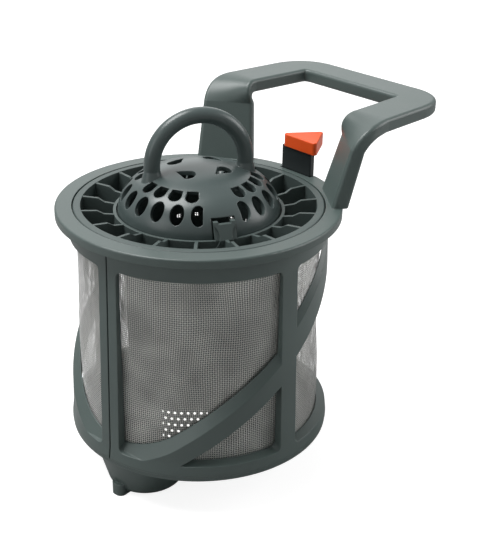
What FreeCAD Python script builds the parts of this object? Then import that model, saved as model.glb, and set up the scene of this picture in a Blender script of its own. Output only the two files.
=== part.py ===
import FreeCAD, Part
import math
import os
from FreeCAD import Placement, Rotation, Vector

# Dishwasher filter: a fine screen cage hangs from a flanged ring with a loop handle,
# and a coarse insert with fins, a perforated cup and a domed guard stands inside it.
# Millimetres. +Z is up on the filter's axis, z = 0 is the flange's seat, +X points to the grip.

UP = Vector(0, 0, 1)
CENTRE = Vector(0, 0, 0)

# Fits between pieces
skirt_clearance = 0.1
tier_clearance = 0.35
insert_clearance = 0.4
insert_gap = 0.3
latch_gap = 0.4
trunnion_clearance = 0.06
cap_fit = 0.05
screen_clearance = 0.04
screen_top_gap = 0.1
base_spigot_clearance = 0.1
guard_clearance = 0.5
cup_seat_clearance = 0.2

# Flanged ring
flange_radius = 55.0
flange_thickness = 3.3
flange_edge_round = 0.8
flange_overhang = 5.05
skirt_depth = 7.0
skirt_wall = 1.3
ledge_width = 1.65
ledge_height = 1.0
tier_width = 1.9
tier_depth = 1.2

# Screen cage
cage_turn = 8.0
cage_wall = 1.65
cage_outer_radius = flange_radius - flange_overhang
cage_inner_radius = cage_outer_radius - cage_wall
window_top = -8.0
window_bottom = -82.4
window_sill_drop = 1.6
window_corner_round = 2.2
cage_draft = 2.0
rim_flare = 2.55
rim_radius = cage_outer_radius + rim_flare
rim_band = 1.0
cage_bottom = -88.2
seam_pillar_half_angle = 5.0
side_pillar_angle = 82.6
side_pillar_half_angle = 4.35
rear_pillar_half_angle = 5.5
seam_groove_width = 0.7
seam_groove_depth = 0.5
front_rib_top = -69.2
front_rib_angle = 42.0
front_rib_slope = 0.636
front_rib_face = 8.8
rib_ease_angle = 33.0
rib_ease = 0.0107
rear_rib_top = -33.5
rear_rib_angle = 88.0
rear_rib_slope = 0.667
rear_rib_face = 11.0
rib_top_pitch = 1.45
rib_station_step = 5.0
cutter_margin = 3.0

# Radii of the ring that follow from the cage and from each other
skirt_radius = cage_inner_radius - skirt_clearance
ring_bore_radius = skirt_radius - skirt_wall
rebate_radius = ring_bore_radius + ledge_width
tier_inner_radius = cage_outer_radius + tier_clearance
tier_outer_radius = tier_inner_radius + tier_width

# Loop handle, one moulding with the ring
loop_top_height = 35.2
loop_thickness = 5.6
loop_overreach = 43.0
loop_reach = flange_radius + loop_overreach
grip_width = 15.4
side_bar_width = 17.0
grip_half_span = 33.5
corner_bend_radius = 11.0
arm_angle = 37.0
arm_foot_radius = flange_radius - 3.0
arm_top_radius = flange_radius + 5.5
arm_foot_height = 0.4
arm_foot_width = 24.0
arm_top_width = 21.0
arm_foot_thickness = 6.4
arm_bend_radius = 9.0
loop_bend_steps = 6
bar_edge_round = 1.5

# Latch arm in the rim notch, and its pointer cap
latch_offset = -1.1
latch_width = 16.4
latch_thickness = 2.5
latch_inner_x = flange_radius - 3.9
latch_top_height = 13.0
latch_tail_depth = 7.0
latch_edge_round = 0.5
latch_hook_reach = 0.8
latch_hook_height = 2.4
latch_hook_inset = 2.5
latch_pivot_height = -2.4
latch_pivot_inset = 1.0
trunnion_radius = 1.0
trunnion_length = 1.6
bearing_block_depth = 4.6
bearing_block_width = 2.6
bearing_block_overlap = 0.2
bearing_block_setback = 0.1
tenon_width = 13.0
tenon_height = 2.6
tenon_shoulder = 0.5
cap_height = 5.2
cap_width = 19.6
cap_length = 14.6
cap_corner_round = 1.2
cap_edge_round = 0.5
cap_overhang = 0.7
cap_offset = -3.0

# Woven screen inside the cage
screen_thickness = 0.5
screen_top = -skirt_depth - screen_top_gap
screen_ridge_count = 90
screen_ridge_height = 0.18
screen_gap_columns = 24
screen_gap_rows = 5
screen_gap_width = 1.0
screen_gap_height = 2.0

# Base cup with its sump bowl and bayonet lug
base_strip_radius = rim_radius - 0.2
base_strip_height = 1.6
base_spigot_wall = 1.6
base_spigot_height = 3.0
base_floor_thickness = 2.0
bowl_rim_margin = 0.2
bowl_top_radius = 19.7
bowl_offset = base_strip_radius - bowl_rim_margin - bowl_top_radius
bowl_bottom_radius = 14.5
bowl_depth = 16.6
bowl_wall = 1.8
bowl_edge_round = 4.5
lug_width = 6.0
lug_length = 7.0
lug_height = 5.0
lug_tip_round = 2.4
lug_setback = 2.2
lug_reach = base_strip_radius - lug_setback

# Domed guard with its arch
guard_rim_radius = 31.3
guard_rim_height = 0.3
guard_apex = 18.4
guard_shoulder_inset = 8.75
guard_shoulder_radius = guard_rim_radius - guard_shoulder_inset
guard_shoulder_height = 13.2
guard_wall = 1.8
notch_width = 9.0
notch_top = 7.7
crown_vent_count = 4
crown_vent_radius = 10.2
crown_vent_length = 8.6
crown_vent_width = 5.8
upper_hole_width = 4.8
upper_hole_height = 5.6
upper_hole_inset = 1.0
upper_hole_radius = guard_shoulder_radius - upper_hole_inset
upper_hole_rise = 0.3
upper_hole_level = guard_shoulder_height + upper_hole_rise
upper_hole_tilt = 62.0
upper_hole_blank_angle = 23.8
upper_hole_count = 9
lower_hole_width = 5.4
lower_hole_height = 7.8
lower_hole_inset = 3.2
lower_hole_radius = guard_rim_radius - lower_hole_inset
lower_hole_level = 8.4
lower_hole_tilt = 32.0
lower_hole_blank_angle = 17.9
lower_hole_count = 10
end_hole_flat = 1.7
arch_inset = 12.9
arch_half_width = guard_rim_radius - arch_inset
arch_bar_radius = 3.1
arch_top = 40.4
arch_foot_radius = 4.2
arch_foot_flare_height = 4.5
arch_foot_height = 13.0

# Coarse insert, turned a little in the ring
insert_turn = -23.3
fin_count = 19
fin_thickness = 1.2
fin_overlap = 0.5
fin_drop = 0.1
lip_radius = rebate_radius - insert_clearance
lip_chamfer = 0.4
fin_wall = 1.2
fin_wall_outer_radius = ring_bore_radius - insert_clearance
fin_wall_inner_radius = fin_wall_outer_radius - fin_wall
fin_wall_depth = 9.0
fin_step_outer_radius = fin_wall_inner_radius - 6.0
fin_step_inner_radius = fin_wall_inner_radius - 8.5
fin_step_height = 2.7
fin_shelf_height = 1.2
hub_wall = 1.2
hub_inner_radius = guard_rim_radius + guard_clearance
hub_outer_radius = hub_inner_radius + hub_wall
hub_top = 0.6
hub_ledge_width = 1.6
hub_ledge_top = -2.8
hub_ledge_height = 1.3
tongue_width = 8.2
tongue_top = 6.9
tongue_foot = -3.3
tongue_thickness = 1.6
tongue_proud = 0.4
tongue_lean = 2.6
tongue_waist_radius = 5.2
tongue_waist_depth = 0.5
tongue_waist_inset = 2.4
tongue_ear_width = 1.7
tongue_ear_height = 0.9

# Perforated cup under the fin ring
cup_outer_radius = hub_inner_radius - 2.9
cup_wall = 1.2
cup_flange_height = 1.3
cup_bottom = cage_bottom + 7.7
cup_floor = 1.5
cup_hole_radius = 1.2
cup_hole_sides = 6
cup_hole_rows = 5
cup_holes_per_row = 24
cup_first_row = -14.0
cup_last_row_lift = 8.0


def polar(radius, angle, height=0.0):
    """A point at a radius and an angle in degrees about the filter's axis."""
    turn = math.radians(angle)
    return Vector(radius * math.cos(turn), radius * math.sin(turn), height)


def revolved(points, angle=360.0):
    """A closed outline of (radius, height) pairs turned about the axis."""
    corners = [Vector(r, 0, z) for r, z in points]
    face = Part.Face(Part.makePolygon(corners + corners[:1]))
    return face.revolve(CENTRE, UP, angle)


def turned(shape, angle):
    """The shape turned about the filter's axis."""
    copy = shape.copy()
    copy.rotate(CENTRE, UP, angle)
    return copy


def block(x0, x1, y0, y1, z0, z1):
    """A box between two corners."""
    return Part.makeBox(x1 - x0, y1 - y0, z1 - z0, Vector(x0, y0, z0))


def mirrored_in_y(shape):
    """The shape's mirror image across the plane of the filter's handle."""
    return shape.mirror(CENTRE, Vector(0, 1, 0))


def rounded_bar_section(centre, across, through, width, thickness, corner):
    """A flat bar's rounded section, as a closed wire in the plane of two directions."""
    a = Vector(across).normalize()
    t = Vector(through).normalize()
    w = width / 2
    h = thickness / 2
    diag = corner * (1 - math.sqrt(0.5))
    edges = []
    corners = [(1, 1), (-1, 1), (-1, -1), (1, -1)]

    def at(x, y):
        return centre + a * x + t * y

    previous = None
    for sx, sy in corners:
        side_point = at(sx * w, sy * (h - corner))
        flat_point = at(sx * (w - corner), sy * h)
        middle = at(sx * (w - diag), sy * (h - diag))
        first, last = (side_point, flat_point) if sx * sy > 0 else (flat_point, side_point)
        if previous is not None:
            edges.append(Part.LineSegment(previous, first).toShape())
        else:
            opening = first
        edges.append(Part.Arc(first, middle, last).toShape())
        previous = last
    edges.append(Part.LineSegment(previous, opening).toShape())
    return Part.Wire(edges)


def flange_ring():
    """The flange with its rebate, inner skirt and the shallow tier under its lip."""
    ring = revolved([
        (ring_bore_radius, -skirt_depth), (skirt_radius, -skirt_depth), (skirt_radius, 0),
        (tier_inner_radius, 0), (tier_inner_radius, -tier_depth),
        (tier_outer_radius, -tier_depth), (tier_outer_radius, 0), (flange_radius, 0),
        (flange_radius, flange_thickness), (rebate_radius, flange_thickness),
        (rebate_radius, ledge_height), (ring_bore_radius, ledge_height)])
    rim_edges = [e for e in ring.Edges if e.BoundBox.ZMin > flange_thickness / 2
                 and e.BoundBox.XMax > (rebate_radius + flange_radius) / 2]
    return ring.makeFillet(flange_edge_round, rim_edges)


def bar_span(stations, smooth):
    """A stretch of flat bar lofted through (centre, run, across, width, thickness) stations."""
    sections = []
    for centre, direction, across, width, thickness in stations:
        through = direction.cross(across)
        flat = through.cross(direction)
        sections.append(rounded_bar_section(
            centre, flat, through, width, thickness, bar_edge_round))
    return Part.makeLoft(sections, True, not smooth)


def bend_stations(start, apex, end, runs, acrosses, widths):
    """Stations round a bend: its middle line is a curve that leaves and meets two runs."""
    stations = []
    for i in range(loop_bend_steps + 1):
        t = i / loop_bend_steps
        centre = start * (1 - t) ** 2 + apex * (2 * t * (1 - t)) + end * t ** 2
        direction = (runs[0] * (1 - t) + runs[1] * t).normalize()
        across = (acrosses[0] * (1 - t) + acrosses[1] * t).normalize()
        width = widths[0] + (widths[1] - widths[0]) * t
        stations.append((centre, direction, across, width, loop_thickness))
    return stations


def loop_half():
    """Half of the loop: arm, bend, side bar, corner and half of the grip."""
    mid_height = loop_top_height - loop_thickness / 2
    foot = polar(arm_foot_radius, arm_angle, arm_foot_height)
    shoulder = polar(arm_top_radius, arm_angle, mid_height)
    corner = Vector(loop_reach - grip_width / 2, grip_half_span, mid_height)
    rise = (shoulder - foot).normalize()
    run = (corner - shoulder).normalize()
    grip_run = Vector(0, -1, 0)
    arm_across = polar(1, arm_angle + 90)
    bar_across = UP.cross(run)
    grip_across = UP.cross(grip_run)
    arm_setback = arm_bend_radius * math.tan(rise.getAngle(run) / 2)
    corner_setback = corner_bend_radius * math.tan(run.getAngle(grip_run) / 2)
    bend = bend_stations(shoulder - rise * arm_setback, shoulder, shoulder + run * arm_setback,
                         (rise, run), (arm_across, bar_across), (arm_top_width, side_bar_width))
    turn = bend_stations(corner - run * corner_setback, corner,
                         corner + grip_run * corner_setback, (run, grip_run),
                         (bar_across, grip_across), (side_bar_width, grip_width))
    arm_base = (foot, rise, arm_across, arm_foot_width, arm_foot_thickness)
    grip_middle = (Vector(turn[-1][0].x, 0, mid_height), grip_run, grip_across,
                   grip_width, loop_thickness)
    spans = [bar_span([arm_base, bend[0]], False), bar_span(bend, True),
             bar_span([bend[-1], turn[0]], False), bar_span(turn, True),
             bar_span([turn[-1], grip_middle], False)]
    return spans[0].fuse(spans[1:])


def latch_notch():
    """The rim notch in which the latch arm stands."""
    half = latch_width / 2 + latch_gap
    return block(latch_inner_x - latch_gap, flange_radius + cutter_margin, latch_offset - half,
                 latch_offset + half, -skirt_depth, flange_thickness + cutter_margin)


def bearing_blocks():
    """Two flat-sided blocks under the flange that hold the latch arm's trunnions."""
    reach = flange_radius - bearing_block_setback
    near = latch_width / 2 + latch_gap
    blocks = []
    for side in (-1, 1):
        y0 = latch_offset + side * near
        y1 = latch_offset + side * (near + bearing_block_width)
        outline = [Vector(tier_inner_radius, y0, -bearing_block_depth),
                   Vector(math.sqrt(reach ** 2 - y0 ** 2), y0, -bearing_block_depth),
                   Vector(math.sqrt(reach ** 2 - y1 ** 2), y1, -bearing_block_depth),
                   Vector(tier_inner_radius, y1, -bearing_block_depth)]
        face = Part.Face(Part.makePolygon(outline + outline[:1]))
        height = bearing_block_depth + bearing_block_overlap
        blocks.append(face.extrude(Vector(0, 0, height)))
    return blocks


def trunnion_bore():
    """The bore through both blocks that the trunnions turn in."""
    reach = latch_width / 2 + trunnion_length + trunnion_clearance
    start = Vector(latch_inner_x + latch_pivot_inset, latch_offset - reach, latch_pivot_height)
    return Part.makeCylinder(trunnion_radius + trunnion_clearance, 2 * reach, start,
                             Vector(0, 1, 0))


def handle_ring():
    """The flanged ring and its loop handle, one moulding."""
    beside = block(0, loop_reach, 0, loop_reach, -skirt_depth, flange_thickness)
    overhang = beside.cut(Part.makeCylinder(flange_radius, 2 * loop_top_height,
                                            Vector(0, 0, -loop_top_height)))
    below = block(0, loop_reach, 0, loop_reach, -skirt_depth, 0)
    half = loop_half().cut([overhang, below])
    ring = flange_ring().fuse([half, mirrored_in_y(half)] + bearing_blocks())
    bore = Part.makeCylinder(rebate_radius, flange_thickness, Vector(0, 0, ledge_height))
    return ring.cut([latch_notch(), trunnion_bore(), bore]).removeSplitter()


def latch_arm():
    """The dark arm: plate, tenon for the cap, trunnions and the hook at its tail."""
    half = latch_width / 2
    outer_x = latch_inner_x + latch_thickness
    plate = block(latch_inner_x, outer_x, latch_offset - half, latch_offset + half,
                  -latch_tail_depth, latch_top_height)
    plate = plate.makeFillet(latch_edge_round,
                             [e for e in plate.Edges if e.BoundBox.ZLength > latch_top_height])
    tenon = block(latch_inner_x + tenon_shoulder, outer_x - tenon_shoulder,
                  latch_offset - tenon_width / 2, latch_offset + tenon_width / 2,
                  latch_top_height, latch_top_height + tenon_height)
    reach = half + trunnion_length
    trunnion = Part.makeCylinder(
        trunnion_radius, 2 * reach,
        Vector(latch_inner_x + latch_pivot_inset, latch_offset - reach, latch_pivot_height),
        Vector(0, 1, 0))
    hook_root = outer_x - latch_edge_round
    hook_top = -latch_tail_depth + latch_hook_height
    hook_outline = [Vector(hook_root, 0, -latch_tail_depth),
                    Vector(outer_x + latch_hook_reach, 0, hook_top),
                    Vector(hook_root, 0, hook_top)]
    hook = Part.Face(Part.makePolygon(hook_outline + hook_outline[:1])).extrude(
        Vector(0, latch_width - 2 * latch_hook_inset, 0))
    hook.translate(Vector(0, latch_offset - half + latch_hook_inset, 0))
    return plate.fuse([tenon, trunnion, hook]).removeSplitter()


def pointer_cap():
    """The orange cap: a rounded triangle pushed over the latch arm's tenon."""
    inner_x = latch_inner_x - cap_overhang
    outer_x = latch_inner_x + latch_thickness
    half = cap_width / 2
    outline = [Vector(inner_x, cap_offset - half, latch_top_height),
               Vector(inner_x + cap_length, cap_offset, latch_top_height),
               Vector(inner_x, cap_offset + half, latch_top_height)]
    wedge = Part.Face(Part.makePolygon(outline + outline[:1])).extrude(Vector(0, 0, cap_height))
    wedge = wedge.makeFillet(cap_corner_round,
                             [e for e in wedge.Edges if e.BoundBox.ZLength > cap_height / 2])
    top_edges = [e for e in wedge.Edges
                 if e.BoundBox.ZMin > latch_top_height + cap_height / 2]
    wedge = wedge.makeFillet(cap_edge_round, top_edges)
    socket = block(latch_inner_x + tenon_shoulder - cap_fit, outer_x - tenon_shoulder + cap_fit,
                   latch_offset - tenon_width / 2 - cap_fit, latch_offset + tenon_width / 2 + cap_fit,
                   latch_top_height - cutter_margin, latch_top_height + tenon_height + cap_fit)
    return wedge.cut(socket)


def front_rib_height(angle):
    """Top of the front rib's face at an angle from the seam: a straight climb that eases in."""
    easing = max(0.0, rib_ease_angle - angle)
    return front_rib_top + front_rib_slope * (angle - front_rib_angle) + rib_ease * easing ** 2


def rear_rib_height(angle):
    """Top of the rear rib's face at an angle from the seam."""
    return rear_rib_top + rear_rib_slope * (angle - rear_rib_angle)


def rib_band(height_at, face_height, start, end):
    """A rib deeper than the wall: its top falls outwards, and its sections are radial."""
    inner = cage_inner_radius - cutter_margin
    outer = rim_radius + cutter_margin
    face_radius = (cage_outer_radius + rim_radius) / 2
    count = int(math.ceil((end - start) / rib_station_step))
    sections = []
    for i in range(count + 1):
        angle = start + (end - start) * i / count
        top = height_at(angle)
        corners = [polar(inner, angle, top - face_height),
                   polar(outer, angle, top - face_height),
                   polar(outer, angle, top - rib_top_pitch * (outer - face_radius)),
                   polar(inner, angle, top + rib_top_pitch * (face_radius - inner))]
        sections.append(Part.makePolygon(corners + corners[:1]))
    return Part.makeLoft(sections, True, False)


def bay(start, end):
    """The opening between two pillars, rounded at its corners, before the rib crosses it."""
    inner = cage_inner_radius - cutter_margin / 2
    outer = rim_radius + cutter_margin / 2
    sector = revolved([(inner, window_bottom), (outer, window_bottom - window_sill_drop),
                       (outer, window_top), (inner, window_top)], end - start)
    corners = [e for e in sector.Edges
               if len(e.Vertexes) == 2 and e.BoundBox.ZLength < 2 * window_sill_drop
               and abs(math.hypot(e.Vertexes[0].X, e.Vertexes[0].Y)
                       - math.hypot(e.Vertexes[1].X, e.Vertexes[1].Y)) > cage_wall]
    return turned(sector.makeFillet(window_corner_round, corners), start)


def cage_windows():
    """Every window of the cage: two bays on each side, each split by its rib."""
    front_end = side_pillar_angle - side_pillar_half_angle
    rear_start = side_pillar_angle + side_pillar_half_angle
    rear_end = 180 - rear_pillar_half_angle
    front = bay(seam_pillar_half_angle, front_end)
    rear = bay(rear_start, rear_end)
    front_rib = rib_band(front_rib_height, front_rib_face, 0, side_pillar_angle)
    rear_rib = rib_band(rear_rib_height, rear_rib_face, side_pillar_angle, 180)
    one_side = front.cut(front_rib).Solids + rear.cut(rear_rib).Solids
    return one_side + [mirrored_in_y(window) for window in one_side]


def screen_cage():
    """The moulded cage: top band, four pillars, two climbing ribs and the flared rim."""
    outer = cage_outer_radius
    wall = revolved([
        (cage_inner_radius, cage_bottom), (rim_radius, cage_bottom),
        (rim_radius, cage_bottom + rim_band), (outer + cage_draft, window_bottom),
        (outer, window_top), (outer, 0), (cage_inner_radius, 0)])
    wall = wall.cut(cage_windows())
    groove = block(-seam_groove_depth, rim_radius, -seam_groove_width / 2, seam_groove_width / 2,
                   cage_bottom - cutter_margin, -tier_depth)
    lean = math.degrees(math.atan2(cage_draft, window_top - window_bottom))
    groove.rotate(CENTRE, Vector(0, 1, 0), lean)
    groove.translate(Vector(outer + math.tan(math.radians(lean)) * window_top, 0, 0))
    return turned(wall.cut(groove), 180 + cage_turn)


def screen_outline(radius_high, radius_low, count):
    """A ridged ring outline, one high and one low point for each ridge."""
    points = []
    for i in range(2 * count):
        radius = radius_high if i % 2 == 0 else radius_low
        points.append(polar(radius, i * 180.0 / count, screen_top))
    return Part.Face(Part.makePolygon(points + points[:1]))


def mesh_screen():
    """The rolled woven screen: a thin ridged wall with rows of gaps."""
    outer = cage_inner_radius - screen_clearance
    inner = outer - screen_thickness
    low = cage_bottom + base_spigot_height
    height = screen_top - low
    skin = screen_outline(outer, outer - screen_ridge_height, screen_ridge_count)
    wall = skin.extrude(Vector(0, 0, -height))
    core = Part.makeCylinder(inner, height + 2 * cutter_margin, Vector(0, 0, low - cutter_margin))
    gaps = []
    for row in range(screen_gap_rows):
        middle = window_bottom + (window_top - window_bottom) * (row + 0.5) / screen_gap_rows
        for column in range(screen_gap_columns):
            gap = block(inner - cutter_margin, outer + cutter_margin,
                        -screen_gap_width / 2, screen_gap_width / 2,
                        middle - screen_gap_height / 2, middle + screen_gap_height / 2)
            shift = 0.5 if row % 2 else 0.0
            gaps.append(turned(gap, (column + shift) * 360.0 / screen_gap_columns))
    return wall.cut([core] + gaps)


def bowl_shape(inset, lift):
    """The sump bowl's outer form, or its hollow when inset by the wall."""
    low = cage_bottom - base_strip_height - bowl_depth + lift
    cone = Part.makeCone(bowl_bottom_radius - inset, bowl_top_radius - inset, cage_bottom - low,
                         Vector(-bowl_offset, 0, low))
    foot_edge = [e for e in cone.Edges
                 if e.BoundBox.ZMax < cage_bottom - bowl_depth / 2 and len(e.Vertexes) == 1]
    return cone.makeFillet(bowl_edge_round - inset, foot_edge)


def bayonet_lug():
    """The rounded lug on the bowl's outer side."""
    low = cage_bottom - base_strip_height - bowl_depth
    lug = block(-lug_reach, -lug_reach + lug_length, -lug_width / 2, lug_width / 2,
                low, low + lug_height)
    tip_edges = [e for e in lug.Edges if e.BoundBox.ZLength > lug_height / 2
                 and e.BoundBox.XMax < -lug_reach + lug_length / 2]
    return lug.makeFillet(lug_tip_round, tip_edges)


def base_cup():
    """The base: floor, spigot inside the cage's rim, foot strip, sump bowl and lug."""
    spigot_radius = cage_inner_radius - base_spigot_clearance
    spigot_inner_radius = spigot_radius - base_spigot_wall
    strip_bottom = cage_bottom - base_strip_height
    floor_bottom = cage_bottom - base_floor_thickness
    spigot_top = cage_bottom + base_spigot_height
    cup = revolved([
        (0, floor_bottom), (spigot_inner_radius, floor_bottom),
        (spigot_inner_radius, strip_bottom), (base_strip_radius, strip_bottom),
        (base_strip_radius, cage_bottom), (spigot_radius, cage_bottom),
        (spigot_radius, spigot_top), (spigot_inner_radius, spigot_top),
        (spigot_inner_radius, cage_bottom), (0, cage_bottom)])
    cup = cup.fuse([bowl_shape(0, 0), bayonet_lug()])
    hollow = bowl_shape(bowl_wall, bowl_wall)
    return turned(cup.cut(hollow).removeSplitter(), cage_turn)


def radial_fin(angle):
    """One fin, its top edge stepped down towards the hub."""
    top = flange_thickness - fin_drop
    outline = [Vector(r, -fin_thickness / 2, z) for r, z in [
        (hub_outer_radius - fin_overlap, -fin_wall_depth), (fin_wall_inner_radius + fin_overlap, -fin_wall_depth),
        (fin_wall_inner_radius + fin_overlap, top), (fin_step_outer_radius, fin_step_height),
        (fin_step_inner_radius, fin_shelf_height), (hub_outer_radius - fin_overlap, hub_top)]]
    face = Part.Face(Part.makePolygon(outline + outline[:1]))
    return turned(face.extrude(Vector(0, fin_thickness, 0)), angle)


def snap_tongue(angle):
    """A leaning tongue on the hub that snaps into the guard's notch, waisted in front."""
    half = tongue_width / 2
    sections = []
    for height, lean in [(tongue_foot, 0.0), (hub_top, 0.0), (tongue_top, tongue_lean)]:
        front = hub_outer_radius + tongue_proud - lean
        back = front - tongue_thickness
        corners = [Vector(front, -half, height), Vector(front, half, height),
                   Vector(back, half, height), Vector(back, -half, height)]
        sections.append(Part.makePolygon(corners + corners[:1]))
    tongue = Part.makeLoft(sections, True, True)
    front_skin = tongue.copy()
    front_skin.translate(Vector(tongue_thickness - tongue_waist_depth, 0, 0))
    middle = (tongue_foot + tongue_top) / 2
    scoops = []
    for side in (-1, 1):
        centre = Vector(0, side * (tongue_waist_inset + tongue_waist_radius), middle)
        scoop = Part.makeCylinder(tongue_waist_radius, flange_radius, centre, Vector(1, 0, 0))
        scoops.append(scoop.common(front_skin))
    ear_gap = half - tongue_ear_width
    dip = block(0, flange_radius, -ear_gap, ear_gap, tongue_top - tongue_ear_height, flange_radius)
    return turned(tongue.cut(scoops + [dip]), angle)


def fin_ring():
    """The insert's top: lip, outer wall, fins, hub and two snap tongues."""
    wall = revolved([
        (fin_wall_inner_radius, -fin_wall_depth), (fin_wall_outer_radius, -fin_wall_depth),
        (fin_wall_outer_radius, ledge_height + insert_gap), (lip_radius, ledge_height + insert_gap),
        (lip_radius, flange_thickness - lip_chamfer), (lip_radius - lip_chamfer, flange_thickness),
        (fin_wall_inner_radius, flange_thickness)])
    hub = revolved([
        (hub_inner_radius, -fin_wall_depth), (hub_outer_radius, -fin_wall_depth),
        (hub_outer_radius, hub_top), (hub_inner_radius, hub_top),
        (hub_inner_radius, hub_ledge_top), (hub_inner_radius - hub_ledge_width, hub_ledge_top),
        (hub_inner_radius - hub_ledge_width, hub_ledge_top - hub_ledge_height),
        (hub_inner_radius, hub_ledge_top - hub_ledge_height)])
    fins = [radial_fin(-90 + i * 360.0 / fin_count) for i in range(fin_count)]
    tongues = [snap_tongue(-90), snap_tongue(90)]
    return turned(wall.fuse([hub] + fins + tongues).removeSplitter(), insert_turn)


def strainer_cup():
    """The perforated cup that hangs from the hub's ledge."""
    inner = cup_outer_radius - cup_wall
    seat_radius = hub_inner_radius - cup_seat_clearance
    top = hub_ledge_top + cup_flange_height
    shell = revolved([
        (0, cup_bottom), (cup_outer_radius, cup_bottom), (cup_outer_radius, hub_ledge_top),
        (seat_radius, hub_ledge_top), (seat_radius, top), (inner, top),
        (inner, cup_bottom + cup_floor), (0, cup_bottom + cup_floor)])
    corners = [Vector(inner - cup_wall, cup_hole_radius * math.cos(2 * math.pi * k / cup_hole_sides),
                      cup_hole_radius * math.sin(2 * math.pi * k / cup_hole_sides))
               for k in range(cup_hole_sides)]
    pin = Part.Face(Part.makePolygon(corners + corners[:1])).extrude(Vector(4 * cup_wall, 0, 0))
    holes = []
    row_pitch = (cup_first_row - cup_bottom - cup_last_row_lift) / (cup_hole_rows - 1)
    for row in range(cup_hole_rows):
        height = cup_first_row - row * row_pitch
        for i in range(cup_holes_per_row):
            shift = 0.5 if row % 2 else 0.0
            hole = turned(pin, (i + shift) * 360.0 / cup_holes_per_row)
            hole.translate(Vector(0, 0, height))
            holes.append(hole)
    return turned(shell.cut(holes), insert_turn)


def guard_profile(inset):
    """The dome's two arcs at an inset from its outside: crown arc, cheek arc and their ends."""
    rise = guard_apex - guard_shoulder_height
    crown = (guard_shoulder_radius ** 2 + rise ** 2) / (2 * rise)
    crown_centre = Vector(0, 0, guard_apex - crown)
    shoulder = Vector(guard_shoulder_radius, 0, guard_shoulder_height)
    rim = Vector(guard_rim_radius, 0, guard_rim_height)
    normal = (shoulder - crown_centre).normalize()
    chord = rim - shoulder
    cheek = -chord.dot(chord) / (2 * chord.dot(normal))
    cheek_centre = shoulder - normal * cheek
    out = (rim - cheek_centre).normalize()
    crown_middle = (UP + normal).normalize()
    cheek_middle = (normal + out).normalize()
    crown_arc = Part.Arc(crown_centre + UP * (crown - inset),
                         crown_centre + crown_middle * (crown - inset),
                         crown_centre + normal * (crown - inset))
    cheek_arc = Part.Arc(cheek_centre + normal * (cheek - inset),
                         cheek_centre + cheek_middle * (cheek - inset),
                         cheek_centre + out * (cheek - inset))
    apex = crown_centre + UP * (crown - inset)
    return crown_arc.toShape(), cheek_arc.toShape(), apex, cheek_centre + out * (cheek - inset)


def guard_shell():
    """The dome as a shell of even wall with a short straight rim."""
    outer_crown, outer_cheek, outer_apex, outer_rim = guard_profile(0)
    inner_crown, inner_cheek, inner_apex, inner_rim = guard_profile(guard_wall)
    foot = hub_ledge_top + cup_flange_height
    foot_outer = Vector(outer_rim.x, 0, foot)
    foot_inner = Vector(inner_rim.x, 0, foot)
    edges = [outer_crown, outer_cheek,
             Part.LineSegment(outer_rim, foot_outer).toShape(),
             Part.LineSegment(foot_outer, foot_inner).toShape(),
             Part.LineSegment(foot_inner, inner_rim).toShape(),
             inner_cheek, inner_crown,
             Part.LineSegment(inner_apex, outer_apex).toShape()]
    face = Part.Face(Part.Wire(Part.__sortEdges__(edges)))
    return face.revolve(CENTRE, UP, 360)


def guard_hollow():
    """The space under the dome, which trims the arch's feet flush inside."""
    crown, cheek, apex, rim = guard_profile(guard_wall)
    foot = Vector(0, 0, rim.z)
    edges = [crown, cheek, Part.LineSegment(rim, foot).toShape(),
             Part.LineSegment(foot, apex).toShape()]
    face = Part.Face(Part.Wire(Part.__sortEdges__(edges)))
    return face.revolve(CENTRE, UP, 360)


def guard_arch():
    """The arch: round bar over two upright legs that widen where they meet the dome."""
    middle_radius = arch_half_width
    spring = arch_top - arch_bar_radius - middle_radius
    start = Vector(middle_radius, 0, spring)
    path = Part.Wire([
        Part.LineSegment(Vector(middle_radius, 0, arch_foot_height), start).toShape(),
        Part.Arc(start, Vector(0, 0, spring + middle_radius),
                 Vector(-middle_radius, 0, spring)).toShape(),
        Part.LineSegment(Vector(-middle_radius, 0, spring),
                         Vector(-middle_radius, 0, arch_foot_height)).toShape()])
    circle = Part.Wire([Part.Circle(Vector(middle_radius, 0, arch_foot_height), UP,
                                    arch_bar_radius).toShape()])
    bar = path.makePipeShell([circle], True, False)
    flares = []
    for side in (-1, 1):
        flares.append(Part.makeCone(arch_foot_radius, arch_bar_radius, arch_foot_flare_height,
                                    Vector(side * middle_radius, 0, arch_foot_height)))
    return bar.fuse(flares)


def elliptic_plug(width, height, length):
    """An elliptic cutter along +X, its width across and its height up."""
    start = Vector(-length / 2, 0, 0)
    ellipse = Part.Ellipse(start + Vector(0, 0, height / 2), start + Vector(0, width / 2, 0), start)
    plug = Part.Face(Part.Wire(ellipse.toShape())).extrude(Vector(length, 0, 0))
    if plug.Volume < 0:
        plug.reverse()
    return plug


def shield_plug(width, height, length):
    """A cutter with a flat top and a round bottom, along +X."""
    half = width / 2
    top = height * 0.4
    left_top = Vector(-length / 2, -half * 0.85, top)
    right_top = Vector(-length / 2, half * 0.85, top)
    left_side = Vector(-length / 2, -half, 0)
    right_side = Vector(-length / 2, half, 0)
    bottom = Vector(-length / 2, 0, top - height)
    edges = [Part.LineSegment(left_top, left_side).toShape(),
             Part.Arc(left_side, bottom, right_side).toShape(),
             Part.LineSegment(right_side, right_top).toShape(),
             Part.LineSegment(right_top, left_top).toShape()]
    plug = Part.Face(Part.Wire(edges)).extrude(Vector(length, 0, 0))
    if plug.Volume < 0:
        plug.reverse()
    return plug


def placed_plug(plug, radius, height, tilt, angle):
    """A cutter tilted square to the dome and put at its place around it."""
    copy = plug.copy()
    copy.Placement = Placement(Vector(radius, 0, height), Rotation(Vector(0, 1, 0), -tilt))
    return turned(copy, angle)


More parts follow.
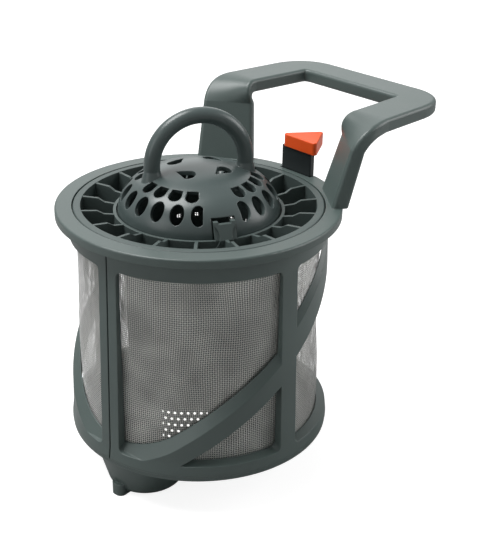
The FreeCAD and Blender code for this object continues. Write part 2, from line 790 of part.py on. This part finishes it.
def crown_vent(angle):
    """One petal vent of the crown, pointed at one end and round at the other."""
    half = crown_vent_width / 2
    level = guard_shoulder_height - guard_wall
    point_end = Vector(crown_vent_radius - 0.8, -crown_vent_length * 0.58, level)
    round_centre = Vector(crown_vent_radius, crown_vent_length * 0.42 - half, level)
    inner = round_centre + Vector(-half, 0, 0)
    outer = round_centre + Vector(half, 0, 0)
    top = round_centre + Vector(0, half, 0)
    edges = [Part.LineSegment(point_end, outer).toShape(),
             Part.Arc(outer, top, inner).toShape(),
             Part.LineSegment(inner, point_end).toShape()]
    plug = Part.Face(Part.Wire(edges)).extrude(Vector(0, 0, guard_apex - level + cutter_margin))
    return turned(plug, angle)


def lower_holes(side):
    """The big holes down one side; the two beside the tongues are cut flat towards them."""
    plug = elliptic_plug(lower_hole_width, lower_hole_height, 4 * guard_wall)
    pitch = (180 - 2 * lower_hole_blank_angle) / (lower_hole_count - 1)
    size = 2 * lower_hole_height
    flat_first = plug.cut(block(-size, size, -size, -end_hole_flat, -size, size))
    flat_last = plug.cut(block(-size, size, end_hole_flat, size, -size, size))
    shapes = [flat_first] + [plug] * (lower_hole_count - 2) + [flat_last]
    return [placed_plug(shape, lower_hole_radius, lower_hole_level, lower_hole_tilt,
                        side + lower_hole_blank_angle + i * pitch)
            for i, shape in enumerate(shapes)]


def upper_holes(side):
    """The row of shield-shaped holes above, with none where the arch's foot stands."""
    plug = shield_plug(upper_hole_width, upper_hole_height, 4 * guard_wall)
    pitch = (180 - 2 * upper_hole_blank_angle) / (upper_hole_count - 1)
    return [placed_plug(plug, upper_hole_radius, upper_hole_level, upper_hole_tilt,
                        side + upper_hole_blank_angle + i * pitch)
            for i in range(upper_hole_count) if i != upper_hole_count // 2]


def guard_holes():
    """The vents of the crown and the two staggered rows of holes down the sides."""
    plugs = [crown_vent(45 + i * 360.0 / crown_vent_count) for i in range(crown_vent_count)]
    for side in (-90, 90):
        plugs += lower_holes(side) + upper_holes(side)
    return plugs


def dome_guard():
    """The domed guard with its arch, holes, vents and the two tongue notches."""
    guard = guard_shell().fuse(guard_arch().cut(guard_hollow()))
    reach = hub_outer_radius + cutter_margin
    notch = block(-notch_width / 2, notch_width / 2, -reach, reach, -fin_wall_depth, notch_top)
    notch = notch.cut(Part.makeCylinder(guard_shoulder_radius, flange_radius,
                                        Vector(0, 0, -fin_wall_depth)))
    return turned(guard.cut(guard_holes() + [notch]).removeSplitter(), insert_turn)


parts = {
    "handle_ring": handle_ring,
    "latch_arm": latch_arm,
    "pointer_cap": pointer_cap,
    "screen_cage": screen_cage,
    "mesh_screen": mesh_screen,
    "base_cup": base_cup,
    "fin_ring": fin_ring,
    "strainer_cup": strainer_cup,
    "dome_guard": dome_guard,
}

os.makedirs("parts", exist_ok=True)
for name, make in parts.items():
    shape = make()
    print(name, "solids", len(shape.Solids), "valid", shape.isValid(),
          "volume", round(shape.Volume, 1))
    shape.exportStep("parts/" + name + ".step")
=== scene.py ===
# %% [markdown]
# # A dishwasher filter, dressed for its portrait
# The part comes from CAD as nine moulded or woven pieces. This lesson gives each of them
# the surface that the real one has, adds what is too fine for CAD, and sets up a plain
# studio with a camera that stands where the photographer stood.

# %% Load the fixed frame
import math

import bmesh
import bpy
from mathutils import Matrix, Vector


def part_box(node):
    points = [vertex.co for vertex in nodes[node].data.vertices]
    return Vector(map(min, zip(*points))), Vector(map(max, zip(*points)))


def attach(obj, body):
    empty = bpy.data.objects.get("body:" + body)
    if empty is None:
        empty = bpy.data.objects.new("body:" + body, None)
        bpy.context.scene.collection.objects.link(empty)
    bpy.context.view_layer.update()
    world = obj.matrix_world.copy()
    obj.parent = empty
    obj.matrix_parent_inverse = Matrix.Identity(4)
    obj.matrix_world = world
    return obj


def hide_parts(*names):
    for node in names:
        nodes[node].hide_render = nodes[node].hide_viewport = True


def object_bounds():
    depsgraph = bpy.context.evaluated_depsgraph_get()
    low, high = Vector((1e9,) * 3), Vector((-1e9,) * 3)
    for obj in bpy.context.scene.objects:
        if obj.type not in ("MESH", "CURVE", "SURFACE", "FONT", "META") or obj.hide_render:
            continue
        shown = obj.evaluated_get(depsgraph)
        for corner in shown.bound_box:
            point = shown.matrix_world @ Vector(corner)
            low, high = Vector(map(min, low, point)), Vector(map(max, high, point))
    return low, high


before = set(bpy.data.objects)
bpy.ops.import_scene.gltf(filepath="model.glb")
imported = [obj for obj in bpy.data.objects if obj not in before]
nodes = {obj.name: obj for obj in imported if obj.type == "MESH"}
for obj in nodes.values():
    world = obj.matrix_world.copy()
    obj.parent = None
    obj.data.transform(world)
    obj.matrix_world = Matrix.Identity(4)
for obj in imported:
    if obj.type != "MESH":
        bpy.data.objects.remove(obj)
cad_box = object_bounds()
MM = 0.001
print("CAD nodes:", ", ".join(sorted(nodes)))

# %% [markdown]
# ## The camera
# The picture was taken from a little above the flange, about forty centimetres away. The
# place and angles below were worked out from the ellipses of the flange and the rim, so
# the part falls on the same pixels as in the photograph. A long lens keeps the two
# ellipses alike, which is why the cage looks almost like a plain cylinder.

# %% Camera
camera_place = Vector((-257.6, -301.7, 161.0)) * MM
camera_heading = -43.19
camera_pitch = -25.70
camera_roll = 1.03
focal_length_mm = 71.55


def add_camera():
    bpy.ops.object.camera_add(location=camera_place)
    camera = bpy.context.object
    camera.name = "photo_camera"
    turn = (Matrix.Rotation(math.radians(camera_heading), 3, "Z")
            @ Matrix.Rotation(math.radians(90 + camera_pitch), 3, "X")
            @ Matrix.Rotation(math.radians(camera_roll), 3, "Z"))
    camera.rotation_euler = turn.to_euler()
    camera.data.sensor_width = 36
    camera.data.lens = focal_length_mm
    camera.data.clip_start = 0.01
    bpy.context.scene.camera = camera
    return camera


camera = add_camera()
print("camera at", [round(v, 3) for v in camera.location])

# %% [markdown]
# ## Helpers for node trees
# Every material here is a small sum in a node tree, so the nodes that come back all the time
# get a short function each: a sum, a change of range, and a noise that is fixed to the piece.

# %% Node helpers
def math_node(tree, operation, first, second=None, value=None):
    """A maths node fed by one or two sockets, or by a socket and a number."""
    node = tree.nodes.new("ShaderNodeMath")
    node.operation = operation
    tree.links.new(first, node.inputs[0])
    if second is not None:
        tree.links.new(second, node.inputs[1])
    if value is not None:
        node.inputs[1].default_value = value
    return node.outputs[0]


def map_node(tree, value, source, target):
    """A socket's value mapped from one range to another, and held inside it."""
    node = tree.nodes.new("ShaderNodeMapRange")
    node.inputs["From Min"].default_value, node.inputs["From Max"].default_value = source
    node.inputs["To Min"].default_value, node.inputs["To Max"].default_value = target
    tree.links.new(value, node.inputs["Value"])
    return node.outputs["Result"]


def noise_node(tree, place, scale, detail):
    """A noise that is fixed to the piece."""
    node = tree.nodes.new("ShaderNodeTexNoise")
    node.inputs["Scale"].default_value = scale
    node.inputs["Detail"].default_value = detail
    tree.links.new(place.outputs["Object"], node.inputs["Vector"])
    return node


# %% [markdown]
# ## The studio
# The background is pure white and the light is soft and comes from above. The world shows
# white to the camera, half as bright to reflections, and to every other ray it is a dim grey
# room, so the sides of the dark plastic stay dark while its upper faces and edges shine. The
# floor glows almost white for the camera and adds what light falls on it, which leaves a
# faint shadow under the part.

# %% Studio
floor_height = cad_box[0][2]
floor_reach = 3.0
floor_grey = (0.42, 0.42, 0.42, 1)
floor_roughness = 0.9
floor_glow = 0.86
world_light = 0.17
world_in_gloss = 0.5
lamp_target = Vector((0, 0, -30)) * MM


def add_world():
    world = bpy.data.worlds.new("white_studio")
    bpy.context.scene.world = world
    world.use_nodes = True
    tree = world.node_tree
    background = tree.nodes["Background"]
    background.inputs["Color"].default_value = (1, 1, 1, 1)
    rays = tree.nodes.new("ShaderNodeLightPath")
    shine = math_node(tree, "MULTIPLY", rays.outputs["Is Glossy Ray"], value=world_in_gloss)
    seen = math_node(tree, "MAXIMUM", rays.outputs["Is Camera Ray"], shine)
    level = math_node(tree, "MAXIMUM", seen, value=world_light)
    tree.links.new(level, background.inputs["Strength"])


def add_floor():
    bpy.ops.mesh.primitive_plane_add(size=2 * floor_reach, location=(0, 0, floor_height))
    floor = bpy.context.object
    floor.name = "studio_floor"
    paint = bpy.data.materials.new("studio_white")
    paint.use_nodes = True
    tree = paint.node_tree
    shader = tree.nodes["Principled BSDF"]
    shader.inputs["Base Color"].default_value = floor_grey
    shader.inputs["Roughness"].default_value = floor_roughness
    shader.inputs["Specular IOR Level"].default_value = 0.0
    shader.inputs["Emission Color"].default_value = (1, 1, 1, 1)
    rays = tree.nodes.new("ShaderNodeLightPath")
    glow = math_node(tree, "MULTIPLY", rays.outputs["Is Camera Ray"], value=floor_glow)
    tree.links.new(glow, shader.inputs["Emission Strength"])
    floor.data.materials.append(paint)


def add_soft_light(name, place, size, watts):
    bpy.ops.object.light_add(type="AREA", location=place)
    lamp = bpy.context.object
    lamp.name = name
    lamp.data.shape = "DISK"
    lamp.data.size = size
    lamp.data.energy = watts
    aim = (lamp_target - lamp.location).to_track_quat("-Z", "Y")
    lamp.rotation_euler = aim.to_euler()


bpy.context.scene.view_settings.view_transform = "Standard"
add_world()
add_floor()
add_soft_light("top_light", (-0.30, 0.35, 1.0), size=0.8, watts=16.0)
add_soft_light("back_light", (0.50, 0.62, 0.42), size=0.9, watts=1.8)
add_soft_light("left_light", (-0.95, 0.15, 0.30), size=0.6, watts=1.3)
add_soft_light("right_light", (0.68, -0.48, 0.30), size=0.6, watts=3.6)
print("floor at", round(floor_height, 4))

# %% [markdown]
# ## Moulded plastic
# The cage, ring, insert and base are slate-grey polypropylene. Such a moulding is satin,
# not flat: it has a very fine grain, its colour drifts a little, and its edges are softly
# rounded and catch the light. The grain is a small noise in the bump, the drift is a large
# noise in the colour, and the soft edges come from a bevel that exists only in the shader,
# so the CAD shape stays as it is. The same bevel also lifts the colour along the edges as a
# painted highlight.

# %% Plastic material
drift_scale = 45
drift_spread = 0.14
gloss_spread = 0.06
grain_scale = 2600
grain_depth = 0.05 * MM
edge_samples = 6
# edge_likeness: how far the bevel must bend the normal for the full painted edge highlight
edge_likeness = 0.8


def moulded_plastic(name, colour, roughness, grain, edge_round_mm, edge_highlight_lift=0.25):
    """A moulded plastic with a fine grain, a slow drift of colour and softly rounded edges with a
    painted highlight.
    """
    material = bpy.data.materials.new(name)
    material.use_nodes = True
    tree = material.node_tree
    link = tree.links.new
    shader = tree.nodes["Principled BSDF"]
    place = tree.nodes.new("ShaderNodeTexCoord")
    drift = noise_node(tree, place, drift_scale, detail=3).outputs["Fac"]
    speckle = noise_node(tree, place, grain_scale, detail=2).outputs["Fac"]
    soft_edge = tree.nodes.new("ShaderNodeBevel")
    soft_edge.samples = edge_samples
    soft_edge.inputs["Radius"].default_value = edge_round_mm * MM
    flat = tree.nodes.new("ShaderNodeNewGeometry")
    likeness = tree.nodes.new("ShaderNodeVectorMath")
    likeness.operation = "DOT_PRODUCT"
    link(soft_edge.outputs["Normal"], likeness.inputs[0])
    link(flat.outputs["Normal"], likeness.inputs[1])
    tone = map_node(tree, drift, (0, 1), (1 - drift_spread, 1 + drift_spread))
    # painted highlight: the base colour is lifted where the shader's bevel bends the normal at
    # the edges
    edge = map_node(tree, likeness.outputs["Value"], (1.0, edge_likeness), (1.0, 1.0 + edge_highlight_lift))
    paint = tree.nodes.new("ShaderNodeVectorMath")
    paint.operation = "SCALE"
    paint.inputs[0].default_value = colour
    link(math_node(tree, "MULTIPLY", tone, edge), paint.inputs["Scale"])
    link(paint.outputs["Vector"], shader.inputs["Base Color"])
    bump = tree.nodes.new("ShaderNodeBump")
    bump.inputs["Strength"].default_value = grain
    bump.inputs["Distance"].default_value = grain_depth
    link(speckle, bump.inputs["Height"])
    link(soft_edge.outputs["Normal"], bump.inputs["Normal"])
    link(bump.outputs["Normal"], shader.inputs["Normal"])
    gloss = map_node(tree, drift, (0, 1), (roughness - gloss_spread, roughness + gloss_spread))
    link(gloss, shader.inputs["Roughness"])
    return material


def dress(material, *names):
    """Gives CAD nodes a material in place of the plain one that they came with."""
    for name in names:
        node = nodes[name]
        node.data.materials.clear()
        node.data.materials.append(material)
        print(name, "wears", material.name)


slate = moulded_plastic("slate_moulding", (0.072, 0.098, 0.092),
                        roughness=0.40, grain=0.35, edge_round_mm=0.5)
insert_slate = moulded_plastic("insert_moulding", (0.062, 0.084, 0.080),
                               roughness=0.52, grain=0.3, edge_round_mm=0.3)
guard_slate = moulded_plastic("guard_moulding", (0.066, 0.088, 0.086),
                              roughness=0.31, grain=0.2, edge_round_mm=0.5)
black = moulded_plastic("latch_moulding", (0.018, 0.023, 0.024),
                        roughness=0.35, grain=0.3, edge_round_mm=0.3)
orange = moulded_plastic("pointer_moulding", (0.86, 0.095, 0.012),
                         roughness=0.38, grain=0.2, edge_round_mm=0.4, edge_highlight_lift=0.1)
dress(slate, "handle_ring", "screen_cage", "base_cup")
dress(insert_slate, "fin_ring", "strainer_cup")
dress(guard_slate, "dome_guard")
dress(black, "latch_arm")
dress(orange, "pointer_cap")

# %% [markdown]
# ## The woven screen
# The real screen is steel cloth, rolled to a tube and moulded into the cage. Its wires are
# too thin for geometry, so they are a pattern in the material: the wires are opaque, the
# gaps between them are clear, each wire has a painted highlight along its middle, and it
# passes over and under its neighbours with painted light and shade at each crossing. No
# real cloth is woven dead straight, so a slow noise lets the wires
# wander, which gives the shifting patches that fine cloth shows. The sheet itself is
# geometry, because it isn't a true cylinder: it bellies in and out between the pillars.

# %% Wire cloth material
wire_pitch = 0.86 * MM
wire_share = 0.47
wire_wander = 7.0
wander_scale = 26
wire_height = 0.15 * MM
wire_relief = 0.5
# tone ranges of the painted crown highlight and of the painted light and shade at the crossings
crown_highlight_tones = (0.45, 1.35)
crossing_light_and_shade_tones = (0.88, 1.12)
patch_scale = 75
patch_noise = (0.3, 0.7)
patch_tones = (0.76, 1.24)
screen_radius = 47.9 * MM


def tube_rulers(tree, place):
    """The angle round the axis and the height up it, as two sockets."""
    split = tree.nodes.new("ShaderNodeSeparateXYZ")
    tree.links.new(place.outputs["Object"], split.inputs[0])
    angle = math_node(tree, "ARCTAN2", split.outputs["Y"], split.outputs["X"])
    return angle, split.outputs["Z"]


def wire_cloth(name, steel):
    """Plain-woven wire: wires counted round the axis and up it, each with a painted highlight on
    its crown and painted light and shade where it crosses the others.
    """
    material = bpy.data.materials.new(name)
    material.use_nodes = True
    tree = material.node_tree
    shader = tree.nodes["Principled BSDF"]
    place = tree.nodes.new("ShaderNodeTexCoord")
    angle, rise = tube_rulers(tree, place)
    drift = tree.nodes.new("ShaderNodeSeparateColor")
    slow_noise = noise_node(tree, place, wander_scale, detail=1)
    tree.links.new(slow_noise.outputs["Color"], drift.inputs[0])
    wires_round = round(2 * math.pi * screen_radius / wire_pitch / 2) * 2
    counts = []
    for ruler, density, channel in ((angle, wires_round / (2 * math.pi), "Red"),
                                    (rise, 1 / wire_pitch, "Green")):
        straight = math_node(tree, "MULTIPLY", ruler, value=density)
        wander = math_node(tree, "MULTIPLY", drift.outputs[channel], value=wire_wander)
        counts.append(math_node(tree, "ADD", straight, wander))
    off_middle = []
    for count in counts:
        cell = math_node(tree, "SUBTRACT", math_node(tree, "FRACT", count), value=0.5)
        off_middle.append(math_node(tree, "ABSOLUTE", cell))
    nearest = math_node(tree, "MINIMUM", *off_middle)
    solid = math_node(tree, "LESS_THAN", nearest, value=wire_share / 2)
    crown = map_node(tree, nearest, (0, wire_share / 2), (1.0, 0.0))
    waves = [math_node(tree, "SINE", math_node(tree, "MULTIPLY", count, value=math.pi))
             for count in counts]
    over_under = math_node(tree, "MULTIPLY", *waves)
    # painted highlight along each wire's crown, and painted light and shade where the wires pass
    # over and under
    crown_highlight = map_node(tree, crown, (0, 1), crown_highlight_tones)
    crossing_light_and_shade = map_node(tree, over_under, (-1, 1), crossing_light_and_shade_tones)
    patches = noise_node(tree, place, patch_scale, detail=2)
    patch_tone = map_node(tree, patches.outputs["Fac"], patch_noise, patch_tones)
    tone = math_node(tree, "MULTIPLY", math_node(tree, "MULTIPLY", crown_highlight, crossing_light_and_shade),
                     patch_tone)
    paint = tree.nodes.new("ShaderNodeVectorMath")
    paint.operation = "SCALE"
    paint.inputs[0].default_value = steel
    tree.links.new(tone, paint.inputs["Scale"])
    tree.links.new(paint.outputs["Vector"], shader.inputs["Base Color"])
    bump = tree.nodes.new("ShaderNodeBump")
    bump.inputs["Strength"].default_value = wire_relief
    bump.inputs["Distance"].default_value = wire_height
    tree.links.new(crown, bump.inputs["Height"])
    tree.links.new(bump.outputs["Normal"], shader.inputs["Normal"])
    tree.links.new(solid, shader.inputs["Alpha"])
    shader.inputs["Metallic"].default_value = 0.55
    shader.inputs["Roughness"].default_value = 0.45
    shader.inputs["Sheen Weight"].default_value = 1.0
    shader.inputs["Sheen Roughness"].default_value = 0.35
    return material


steel_cloth = wire_cloth("woven_steel_cloth", (0.44, 0.444, 0.420))

# %% [markdown]
# ## Light through the strainer cup
# Low down, light comes through a patch of the strainer cup's finest holes and shows on the
# cloth as clean pale dots. They are too small for geometry, so they are a pattern too:
# staggered rows of dots round the axis, of which one patch glows.

# %% Lit holes
hole_pitch = 2.45 * MM
hole_row = 2.65 * MM
hole_radius = 0.52 * MM
lit_angles = (math.radians(-147.4), math.radians(-127.0))
lit_heights = (-75.0 * MM, -61.2 * MM)


def add_lit_holes(material):
    """Lights a patch of staggered dots on the cloth, wires and gaps alike."""
    tree = material.node_tree
    shader = tree.nodes["Principled BSDF"]
    place = tree.nodes.new("ShaderNodeTexCoord")
    angle, rise = tube_rulers(tree, place)
    round_wall = math_node(tree, "SUBTRACT", angle, value=lit_angles[0])
    down_wall = math_node(tree, "SUBTRACT", rise, value=lit_heights[1])
    row = math_node(tree, "MULTIPLY", down_wall, value=1 / hole_row)
    stagger = math_node(tree, "FRACT", math_node(
        tree, "MULTIPLY", math_node(tree, "FLOOR", row), value=0.5))
    column = math_node(tree, "MULTIPLY", round_wall, value=screen_radius / hole_pitch)
    column = math_node(tree, "ADD", column, stagger)
    squares = []
    for ruler, pitch in ((column, hole_pitch), (row, hole_row)):
        cell = math_node(tree, "SUBTRACT", math_node(tree, "FRACT", ruler), value=0.5)
        offset = math_node(tree, "MULTIPLY", cell, value=pitch)
        squares.append(math_node(tree, "MULTIPLY", offset, offset))
    lit = math_node(tree, "LESS_THAN", math_node(tree, "ADD", *squares), value=hole_radius ** 2)
    for ruler, (low, high) in ((angle, lit_angles), (rise, lit_heights)):
        above = math_node(tree, "GREATER_THAN", ruler, value=low)
        below = math_node(tree, "LESS_THAN", ruler, value=high)
        lit = math_node(tree, "MULTIPLY", lit, math_node(tree, "MULTIPLY", above, below))
    wires = shader.inputs["Alpha"].links[0].from_socket
    tree.links.new(math_node(tree, "MAXIMUM", wires, lit), shader.inputs["Alpha"])
    shader.inputs["Emission Color"].default_value = (1.0, 1.0, 0.98, 1)
    tree.links.new(lit, shader.inputs["Emission Strength"])


add_lit_holes(steel_cloth)

# %% [markdown]
# ## The rolled sheet
# The sheet starts as a plain open tube at the screen's own height. Its upright edges are cut
# into rows, and each point is then moved in or out by a few slow waves that die away at the
# pillars and at the top and bottom, where the cloth is held. Each wave has its share of the
# whole, a number of times that it goes round the tube, and a lean as it climbs.

# %% Rolled screen
screen_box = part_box("mesh_screen")
screen_columns = 180
screen_rows = 40
belly = 1.5 * MM
belly_mean = 0.6
waves_round = ((0.50, 5, 4), (0.35, 11, -3), (0.15, 19, 7))
cage_turn = math.radians(8.0)


def add_screen():
    """A tube of wire cloth, subdivided up its height and bellied between the pillars."""
    bpy.ops.object.select_all(action="DESELECT")
    low, high = screen_box[0][2], screen_box[1][2]
    middle = (low + high) / 2
    bpy.ops.mesh.primitive_cylinder_add(
        vertices=screen_columns, radius=screen_radius, depth=high - low, end_fill_type="NOTHING",
        location=(0, 0, middle))
    screen = bpy.context.object
    screen.name = "wire_screen"
    bpy.ops.object.transform_apply(location=True, rotation=True, scale=True)
    mesh = bmesh.new()
    mesh.from_mesh(screen.data)
    uprights = [e for e in mesh.edges if abs(e.verts[0].co.z - e.verts[1].co.z) > high - middle]
    bmesh.ops.subdivide_edges(mesh, edges=uprights, cuts=screen_rows, use_grid_fill=True)
    for v in mesh.verts:
        angle = math.atan2(v.co.y, v.co.x) - math.pi - cage_turn
        rise = (v.co.z - low) / (high - low)
        free = math.sin(math.pi * rise) ** 0.5 if 0 < rise < 1 else 0.0
        between = math.sin(2 * angle) ** 2
        wave = 0.0
        for share, times_round, lean in waves_round:
            wave += share * math.sin(times_round * angle + lean * rise)
        push = -belly * free * between * (belly_mean + wave)
        scale = (screen_radius + push) / screen_radius
        v.co.x *= scale
        v.co.y *= scale
    mesh.to_mesh(screen.data)
    mesh.free()
    screen.data.materials.append(steel_cloth)
    bpy.ops.object.shade_smooth()
    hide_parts("mesh_screen")
    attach(screen, "cage")
    return screen


screen = add_screen()
print("screen vertices:", len(screen.data.vertices))

# %% [markdown]
# ## Sizes
# Dressing a part must not change its size, so the box of the CAD part is printed.

# %% Print the CAD box
print("CAD box:", [[round(v, 4) for v in p] for p in cad_box])
